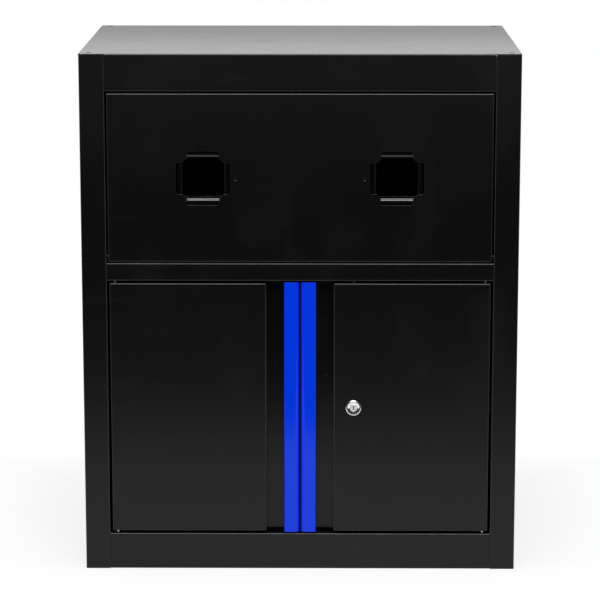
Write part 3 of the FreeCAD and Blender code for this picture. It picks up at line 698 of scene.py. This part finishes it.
def solid_boxes(source: bpy.types.Mesh) -> list[tuple[Vector, Vector]]:
    """Boxes of the loose solids of a mesh.

    Args:
        source: The mesh.

    Returns:
        Low and high corners of each solid, in a fixed order.
    """
    shape = bmesh.new()
    shape.from_mesh(source)
    bmesh.ops.remove_doubles(shape, verts=shape.verts, dist=MERGE_DISTANCE)
    seen: set[bmesh.types.BMVert] = set()
    boxes = []
    for start in shape.verts:
        if start in seen:
            continue
        seen.add(start)
        island, queue = [], [start]
        while queue:
            vert = queue.pop()
            island.append(vert.co.copy())
            fresh = {edge.other_vert(vert) for edge in vert.link_edges} - seen
            seen |= fresh
            queue.extend(fresh)
        boxes.append(box_of(island))
    shape.free()
    return sorted(boxes, key=lambda box: tuple(round(v, ORDER_DIGITS) for v in box[0]))


@dataclass(frozen=True)
class Fastener:
    """A small turned part in millimetres; its head stands on Z = 0 and looks up."""

    head_diameter: float
    head_height: float
    steps: int = 24

    def shape(self) -> bpy.types.Mesh:
        """The part's mesh, in millimetres."""
        raise NotImplementedError

    def mesh(self, facing: Facing) -> bpy.types.Mesh:
        """The part's mesh in metres.

        Args:
            facing: Direction that its head looks in.

        Returns:
            The mesh, with the underside of its head at the origin.
        """
        mesh = self.shape()
        turn = Vector((0.0, 0.0, 1.0)).rotation_difference(facing.vector)
        mesh.transform(turn.to_matrix().to_4x4() @ Matrix.Scale(MILLIMETRE, 4))
        return mesh

    def head_outline(self, shares: Outline, start: float = 0.0, along: float = 1.0) -> Outline:
        """Radii and heights from shares of the head's own, up (1) or down (-1) from a start."""
        radius, rise = self.head_diameter / 2, self.head_height * along
        return [(radius * across, start + rise * up) for across, up in shares]


@dataclass(frozen=True)
class PanScrew(Fastener):
    """Pan head screw with a cross recess, whose sizes are shares of the head's radius and height."""

    shank_diameter: float = 4.0
    length: float = 7.0
    pitch: float = 0.9
    tip_length: float = 0.7
    tip_share: float = 0.45
    neck: float = 0.1
    recess_reach: float = 0.56
    recess_width: float = 0.24
    recess_low: float = 0.18
    recess_high: float = 1.4
    recess_taper: float = 0.45
    THREAD_FORM: ClassVar[Outline] = ((0.86, 0.0), (1.0, 0.45), (1.0, 0.6))
    DOME: ClassVar[Outline] = ((0.96, 0.0), (1.0, 0.08), (1.0, 0.34), (0.94, 0.62), (0.80, 0.82),
                               (0.58, 0.95), (0.30, 1.0), (0.0, 1.0))

    def shape(self) -> bpy.types.Mesh:
        """Threaded shank and domed head, with the recess cut out of it.

        Returns:
            The mesh in millimetres.
        """
        radius, top, shank = self.head_diameter / 2, self.head_height, self.shank_diameter / 2
        outline = [(0.0, -self.length), (shank * self.tip_share, -self.length), *self.thread(),
                   (shank, -self.neck / 2), (shank, 0.0), *self.head_outline(self.DOME)]
        head = to_mesh("pan_screw", lathe(outline, self.steps))
        recess = cross(radius * self.recess_reach, radius * self.recess_width, top * self.recess_low,
                       top * self.recess_high, self.recess_taper)
        return combined(head, to_mesh("recess", recess), "DIFFERENCE")

    def thread(self) -> Outline:
        """Outline of the thread.

        Returns:
            Crests and roots from the tip to the neck.
        """
        low, high = self.tip_length - self.length, -self.neck
        turns = max(1, round((high - low) / self.pitch))
        step = (high - low) / turns
        return [(self.shank_diameter / 2 * share, low + step * (k + part))
                for k in range(turns) for share, part in self.THREAD_FORM]


@dataclass(frozen=True)
class BlindRivet(Fastener):
    """Domed blind rivet with the broken stem in its middle and a set head behind."""

    shank_diameter: float = 3.2
    grip: float = 2.2
    SET_HEAD: ClassVar[Outline] = ((0.0, 1.0), (0.35, 1.0), (0.68, 0.8), (0.86, 0.4), (0.90, 0.0))
    DOME: ClassVar[Outline] = ((1.0, 0.0), (1.0, 0.16), (0.92, 0.50), (0.74, 0.80), (0.54, 0.95),
                               (0.36, 1.0), (0.32, 0.90), (0.30, 0.55), (0.26, 0.55), (0.24, 0.72),
                               (0.0, 0.76))

    def shape(self) -> bpy.types.Mesh:
        """Set head, shank and dome in one turned outline.

        Returns:
            The mesh in millimetres.
        """
        shank = self.shank_diameter / 2
        outline = [*self.head_outline(self.SET_HEAD, -self.grip, -1.0), (shank, -self.grip), (shank, 0.0),
                   *self.head_outline(self.DOME)]
        return to_mesh("blind_rivet", lathe(outline, self.steps))


@dataclass(frozen=True)
class HexNut(Fastener):
    """Hexagon nut with both faces chamfered and a countersunk bore; its diameter is across the flats."""

    bore: float = 4.1
    flats: int = 6
    face_share: float = 0.93
    corner_room: float = 1.01
    chamfer_share: float = 0.14
    countersink_share: float = 1.36
    countersink_depth: float = 0.4
    overshoot: float = 0.5

    def shape(self) -> bpy.types.Mesh:
        """Hexagon shared with a chamfered round, with the bore cut out of it.

        Returns:
            The mesh in millimetres.
        """
        flat, top, hole = self.head_diameter / 2, self.head_height, self.bore / 2
        corner = flat / math.cos(math.pi / self.flats)
        blank = lathe([(0.0, 0.0), (corner, 0.0), (corner, top), (0.0, top)], self.flats)
        face, widest, rise = flat * self.face_share, corner * self.corner_room, self.chamfer_share * top
        chamfer = lathe([(0.0, 0.0), (face, 0.0), (widest, rise), (widest, top - rise), (face, top),
                         (0.0, top)], 2 * self.steps)
        nut = combined(to_mesh("hex_nut", blank), to_mesh("chamfer", chamfer), "INTERSECT")
        mouth, depth, past = hole * self.countersink_share, self.countersink_depth, self.overshoot
        core = lathe([(0.0, -past), (mouth, -past), (hole, depth), (hole, top - depth),
                      (mouth, top + past), (0.0, top + past)], self.steps)
        return combined(nut, to_mesh("bore", core), "DIFFERENCE")


class SettingOut:
    """Geometry Nodes tree that stands a fastener at every point, each turned about its axis by chance."""

    INPUTS: ClassVar[dict[str, str]] = {
        "Points": "NodeSocketGeometry", "Fastener": "NodeSocketObject", "Axis": "NodeSocketVector",
        "Largest Turn": "NodeSocketFloat", "Seed": "NodeSocketInt", "Finish": "NodeSocketMaterial"}
    RANDOM_LARGEST: ClassVar[int] = 3

    def __init__(self) -> None:
        """Builds the tree and its named inputs."""
        self.group = bpy.data.node_groups.new("setting_out", "GeometryNodeTree")
        self.keys: dict[str, str] = {}
        for name, kind in self.INPUTS.items():
            socket = self.group.interface.new_socket(name, in_out="INPUT", socket_type=kind)
            self.keys[name] = socket.identifier
        self.group.interface.new_socket("Geometry", in_out="OUTPUT", socket_type="NodeSocketGeometry")
        tree = Tree(self.group)
        given = {name: tree.add("NodeGroupInput", out=name) for name in self.INPUTS}
        part = tree.add("GeometryNodeObjectInfo", None,
                        {"Object": given["Fastener"], "As Instance": True}, out="Geometry")
        angle = tree.add("FunctionNodeRandomValue", {"data_type": "FLOAT"},
                         {self.RANDOM_LARGEST: given["Largest Turn"], "Seed": given["Seed"]})
        turn = tree.add("FunctionNodeAxisAngleToRotation", None,
                        {"Axis": given["Axis"], "Angle": angle})
        placed = tree.add("GeometryNodeInstanceOnPoints", None,
                          {"Points": given["Points"], "Instance": part, "Rotation": turn})
        plain = tree.add("GeometryNodeRealizeInstances", None, {"Geometry": placed})
        covered = tree.add("GeometryNodeSetMaterial", None,
                           {"Geometry": plain, "Material": given["Finish"]})
        tree.add("NodeGroupOutput", None, {"Geometry": covered})

    def mesh(self, places: Sequence[Vector], part: bpy.types.Mesh, facing: Facing, finish: Finish,
             seed: int) -> bpy.types.Mesh:
        """Plain mesh of the fasteners at their places.

        Args:
            places: Where the heads stand.
            part: One fastener, turned to its direction.
            facing: Direction that the heads look in.
            finish: What covers them.
            seed: Start of the random turns.

        Returns:
            The mesh of all of them.
        """
        points = bpy.data.meshes.new("places")
        points.from_pydata([tuple(p) for p in places], [], [])
        host, single = link("places", points), link("fastener", part)
        modifier = host.modifiers.new("setting_out", "NODES")
        modifier.node_group = self.group
        values = {"Fastener": single, "Axis": facing.value, "Largest Turn": math.tau, "Seed": seed,
                  "Finish": finish.material()}
        for name, value in values.items():
            modifier[self.keys[name]] = value
        mesh = baked(host)
        for thing in (host, single):
            bpy.data.objects.remove(thing)
        return mesh


@dataclass
class Assembly:
    """Nodes of one or more bodies that are dressed together."""

    setting_out: SettingOut

    def skin(self, node: str, finish: Finish) -> bpy.types.Object:
        """Stands a merged, smoothly shaded copy in the place of a CAD node.

        Args:
            node: The node's name.
            finish: What it is covered with.

        Returns:
            The new piece.
        """
        shape = bmesh.new()
        shape.from_mesh(frame["nodes"][node].data)
        bmesh.ops.remove_doubles(shape, verts=shape.verts, dist=MERGE_DISTANCE)
        bmesh.ops.dissolve_limit(shape, angle_limit=PLANAR_ANGLE, verts=shape.verts, edges=shape.edges)
        bmesh.ops.triangulate(shape, faces=[f for f in shape.faces if len(f.verts) > LARGEST_FACE])
        return self.keep(node + "_skin", to_mesh(node + "_skin", shape), node, finish)

    def fasten(self, node: str, fastener: Fastener, facing: Facing, finish: Finish,
               seed: int) -> bpy.types.Object:
        """Stands detailed fasteners in the places of a node's plain ones.

        Args:
            node: The node whose solids give the places.
            fastener: The part that is repeated.
            facing: Direction that its head looks in.
            finish: What it is covered with.
            seed: Start of the random turns.

        Returns:
            The new piece.
        """
        head = fastener.head_height * MILLIMETRE
        places = []
        for low, high in solid_boxes(frame["nodes"][node].data):
            reach = abs((high - low).dot(facing.vector)) / 2
            places.append((low + high) / 2 + facing.vector * (reach - head))
        mesh = self.setting_out.mesh(places, fastener.mesh(facing), facing, finish, seed)
        return self.keep(node + "_detailed", mesh, node, finish)

    def keep(self, name: str, mesh: bpy.types.Mesh, node: str, finish: Finish) -> bpy.types.Object:
        """Finishes a mesh that stands for a node, and rides it on the node's body.

        Args:
            name: The piece's name.
            mesh: Its mesh.
            node: The node that it replaces.
            finish: What it is covered with.

        Returns:
            The piece.
        """
        mesh.materials.clear()
        mesh.materials.append(finish.material())
        smooth_by_angle(mesh)
        piece = link(name, mesh)
        if isinstance(finish, PowderCoat):
            shade_folds(mesh)
        else:
            piece.modifiers.new("normals", "WEIGHTED_NORMAL").keep_sharp = True
            piece.data = baked(piece)
            piece.modifiers.clear()
        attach(piece, frame["nodes"][node]["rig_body"])
        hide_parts(node)
        LOG.info("%s: %d faces, %s", name, len(mesh.polygons), finish.name)
        return piece


@dataclass
class Carcass(Assembly):
    """The folded sheets that stand still, and what is fixed to them."""

    sheets: tuple[str, ...] = ("left_side_panel", "right_side_panel", "reel_bay_floor", "base_panel",
                               "back_panel", "shelf", "left_shelf_rail", "right_shelf_rail")
    bright_parts: tuple[str, ...] = ("left_door_pins", "right_door_pins", "catch_magnets")
    mouldings: tuple[str, ...] = ("left_door_catch", "right_door_catch", "left_flap_catch",
                                  "right_flap_catch")
    back_screw: PanScrew = PanScrew(8.0, 2.2, 24, 4.0, 7.0, 0.9)
    back_screw_seed: int = 11
    catch_screw: PanScrew = PanScrew(5.5, 1.8, 20, 3.0, 12.2, 1.1)
    catch_screw_seed: int = 12

    def build(self) -> None:
        """Dresses sheets, pins, catches and grommets."""
        self.skin("top_panel", Finishes.RUBBED)
        for node in self.sheets:
            self.skin(node, Finishes.BLACK)
        for node in self.bright_parts:
            self.skin(node, Finishes.ZINC)
        self.skin("flap_hinge_pins", Finishes.BLUED)
        self.fasten("back_panel_screws", self.back_screw, Facing.BACK, Finishes.ZINC,
                    self.back_screw_seed)
        self.fasten("catch_screws", self.catch_screw, Facing.DOWN, Finishes.ZINC,
                    self.catch_screw_seed)
        for node in self.mouldings:
            self.skin(node, Finishes.NYLON)
        for side in Side:
            self.skin(side.value + "_supply_grommet", Finishes.RUBBER)


@dataclass
class Flap(Assembly):
    """The drop-down flap with its roller outlets."""

    rollers: tuple[str, ...] = ("upper", "lower", "inner", "outer")
    frame_nut: HexNut = HexNut(7.0, 3.2, 24, 4.1)
    frame_nut_seed: int = 13

    def build(self) -> None:
        """Dresses the flap, the frames and the rollers."""
        self.skin("flap_panel", Finishes.BLACK)
        self.skin("flap_bushes", Finishes.NYLON)
        self.fasten("roller_frame_nuts", self.frame_nut, Facing.BACK, Finishes.ZINC, self.frame_nut_seed)
        for side in Side:
            self.skin(side.value + "_roller_frame", Finishes.BLACK)
            self.skin(side.value + "_roller_pins", Finishes.ZINC)
            for place in self.rollers:
                self.skin("roller_" + side.value + "_" + place, Finishes.ROLLER)


@dataclass
class Doors(Assembly):
    """Both doors with their handle strips."""

    handle_rivet: BlindRivet = BlindRivet(6.5, 1.0, 24, 3.2, 2.2)
    handle_rivet_seed: int = 14
    recess_half_width: float = 0.0535
    recess_starts: float = 0.0022

    def build(self) -> None:
        """Dresses panels, strips and pivots."""
        for side in Side:
            self.shade_recess(self.skin(side.value + "_door_panel", Finishes.BLACK))
            self.skin(side.value + "_door_handle", Finishes.BLUE)
            self.skin(side.value + "_door_stiffener", Finishes.BLACK)
            self.skin(side.value + "_door_bushes", Finishes.NYLON)
            self.fasten(side.value + "_handle_rivets", self.handle_rivet, Facing.FRONT, Finishes.ZINC,
                        self.handle_rivet_seed)

    def shade_recess(self, panel: bpy.types.Object) -> None:
        """Gives the finger recess a smoother coat whose lower gloss is painted shade that darkens the
        recess.

        Args:
            panel: The door panel.
        """
        mesh = panel.data
        mesh.materials.append(Finishes.RECESS.material())
        front = min(vert.co.y for vert in mesh.vertices) + self.recess_starts
        # Faces inside the recess take the coat with painted shade.
        for face in mesh.polygons:
            if abs(face.center.x) < self.recess_half_width and face.center.y > front:
                face.material_index = 1


@dataclass
class LockSet(Assembly):
    """The lock on the right door with its cam and rods."""

    plated: tuple[str, ...] = ("lock_nut", "lock_cam", "lock_cam_screw", "upper_lock_rod",
                               "lower_lock_rod")
    keyway_half_width: float = 0.0010
    keyway_half_height: float = 0.0037
    keyway_starts: float = 0.00002
    keyway_ends: float = 0.0065

    def build(self) -> None:
        """Dresses lock, cam, rods and guides."""
        self.skin("lock_body", Finishes.CHROME)
        self.shade_keyway(self.skin("lock_plug", Finishes.SATIN))
        for node in self.plated:
            self.skin(node, Finishes.ZINC)
        self.skin("rod_guides", Finishes.NYLON)

    def shade_keyway(self, plug: bpy.types.Object) -> None:
        """Gives the walls of the keyway a dark metal, painted shade inside the keyhole.

        Args:
            plug: The lock's plug.
        """
        mesh = plug.data
        mesh.materials.append(Finishes.BLUED.material())
        low, high = box_of([vert.co for vert in mesh.vertices])
        middle = (low + high) / 2
        for face in mesh.polygons:
            away = face.center - middle
            inside = abs(away.x) < self.keyway_half_width and abs(away.z) < self.keyway_half_height
            # Painted shade: faces inside the keyway take the dark metal.
            if inside and self.keyway_starts < face.center.y - low.y < self.keyway_ends:
                face.material_index = 1


@dataclass(frozen=True)
class Lamp:
    """A soft rectangular lamp."""

    name: str
    place: Colour
    aim: Colour
    size: tuple[float, float]
    power: float


@dataclass
class Studio:
    """Floor, light and camera."""

    lamps: tuple[Lamp, ...] = (
        Lamp("overhead", (0.0, -0.5, 2.6), (0.0, -0.5, 0.0), (2.4, 1.2), 55.0),
        Lamp("front", (0.0, -2.3, 2.5), (0.0, -0.2, 0.4), (2.2, 0.9), 62.0))
    eye: Colour = (0.030, -4.223, 1.242)
    aim: Colour = (0.0, -0.230, 0.436)
    lens: float = 156.8
    sensor: float = 36.0
    floor_front: float = -1.09
    floor_back: float = 3.0
    floor_half_width: float = 1.5
    floor_colour: Colour = (0.42, 0.42, 0.42)
    floor_glow: float = 1.20
    near_share: float = 0.66
    far_share: float = 0.82
    shadow_reach: float = 0.5
    covered_half_width: float = 0.345
    covered_half_depth: float = 0.225
    covered_edge: float = 0.02
    front_level: float = 0.045
    behind_level: float = 0.42
    behind_limits: tuple[float, float] = (-0.20, 0.40)
    beside_level: float = 0.14
    beside_limits: tuple[float, float] = (0.35, 0.95)
    above_level: float = 0.7
    above_limits: tuple[float, float] = (0.45, 0.90)

    def build(self) -> None:
        """Builds the floor, the world, the lamps and the camera."""
        self.lay_floor()
        self.light_world()
        self.hang_lamps()
        self.set_camera()
        bpy.context.scene.view_settings.view_transform = "Standard"

    def lay_floor(self) -> None:
        """Pale floor that is nearly white to the camera and keeps the cabinet's shadow."""
        mesh = bpy.data.meshes.new("floor")
        corners = [(x, y, 0.0) for x, y in (
            (-self.floor_half_width, self.floor_front), (self.floor_half_width, self.floor_front),
            (self.floor_half_width, self.floor_back), (-self.floor_half_width, self.floor_back))]
        mesh.from_pydata(corners, [], [(0, 1, 2, 3)])
        material = bpy.data.materials.new("floor")
        material.use_nodes = True
        tree = Tree(material.node_tree)
        matt = tree.add("ShaderNodeBsdfDiffuse", None, {"Color": self.floor_colour})
        white = tree.add("ShaderNodeEmission", None, {"Color": WHITE, "Strength": self.floor_glow})
        mixed = tree.add("ShaderNodeMixShader", None, {0: self.glow_share(tree), 1: matt, 2: white})
        tree.add("ShaderNodeOutputMaterial", None, {"Surface": mixed})
        material.cycles.emission_sampling = "NONE"
        mesh.materials.append(material)
        link("floor", mesh)

    def glow_share(self, tree: Tree) -> Sock:
        """Share of the floor's light that is glow: none under the cabinet, and less beside it.

        Args:
            tree: The floor's node tree.

        Returns:
            The share, 0 for rays that only light the cabinet.
        """
        seen = tree.add("ShaderNodeLightPath", out="Is Camera Ray").most(tree.mirror_rays())
        point = tree.place()
        across, along = abs(tree.part(point, Axis.ACROSS)), abs(tree.part(point, Axis.DEPTH))
        away = (across - self.covered_half_width).most(along - self.covered_half_depth)
        rise = away.ease(0.0, self.shadow_reach) * (self.far_share - self.near_share)
        return seen * away.ease(-self.covered_edge, 0.0) * (self.near_share + rise)

    def light_world(self) -> None:
        """White to the camera; as light, bright above and behind and dark in front."""
        world = bpy.data.worlds.new("studio")
        world.use_nodes = True
        bpy.context.scene.world = world
        tree = Tree(world.node_tree)
        direction = tree.add("ShaderNodeTexCoord", out="Generated")
        across, depth, height = (tree.part(direction, axis) for axis in Axis)
        behind = depth.ease(*self.behind_limits)
        beside = abs(across).ease(*self.beside_limits)
        above = height.ease(*self.above_limits)
        level = (self.front_level + behind * self.behind_level).most(beside * self.beside_level)
        level = level.most(above * self.above_level)
        grey = tree.add("ShaderNodeCombineColor", None, {0: level, 1: level, 2: level})
        seen = tree.add("ShaderNodeLightPath", out="Is Camera Ray")
        colour = tree.blend(seen.most(tree.mirror_rays() * behind), grey, WHITE)
        light = tree.add("ShaderNodeBackground", None, {"Color": colour})
        tree.add("ShaderNodeOutputWorld", None, {"Surface": light})

    def hang_lamps(self) -> None:
        """Hangs each soft lamp and turns it to the cabinet."""
        for lamp in self.lamps:
            data = bpy.data.lights.new(lamp.name, "AREA")
            data.shape = "RECTANGLE"
            data.size, data.size_y = lamp.size
            data.energy = lamp.power
            self.stand(data, lamp.place, lamp.aim)

    def set_camera(self) -> None:
        """Camera where the photograph was taken from, turned down to the cabinet."""
        data = bpy.data.cameras.new("camera")
        data.lens = self.lens
        data.sensor_width = self.sensor
        bpy.context.scene.camera = self.stand(data, self.eye, self.aim)

    @staticmethod
    def stand(data: bpy.types.ID, place: Colour, aim: Colour) -> bpy.types.Object:
        """Stands a lamp or a camera in the scene.

        Args:
            data: The lamp or camera.
            place: Where it stands.
            aim: What it looks at.

        Returns:
            The new object.
        """
        thing = bpy.data.objects.new(data.name, data)
        thing.location = place
        thing.rotation_euler = (Vector(aim) - Vector(place)).to_track_quat("-Z", "Y").to_euler()
        bpy.context.scene.collection.objects.link(thing)
        return thing


def main() -> None:
    """Builds every assembly and the studio in order."""
    logging.basicConfig(level=logging.INFO, format="%(message)s")
    setting_out = SettingOut()
    for assembly in (Carcass, Flap, Doors, LockSet):
        assembly(setting_out).build()
    Studio().build()


if __name__ == "__main__":
    main()
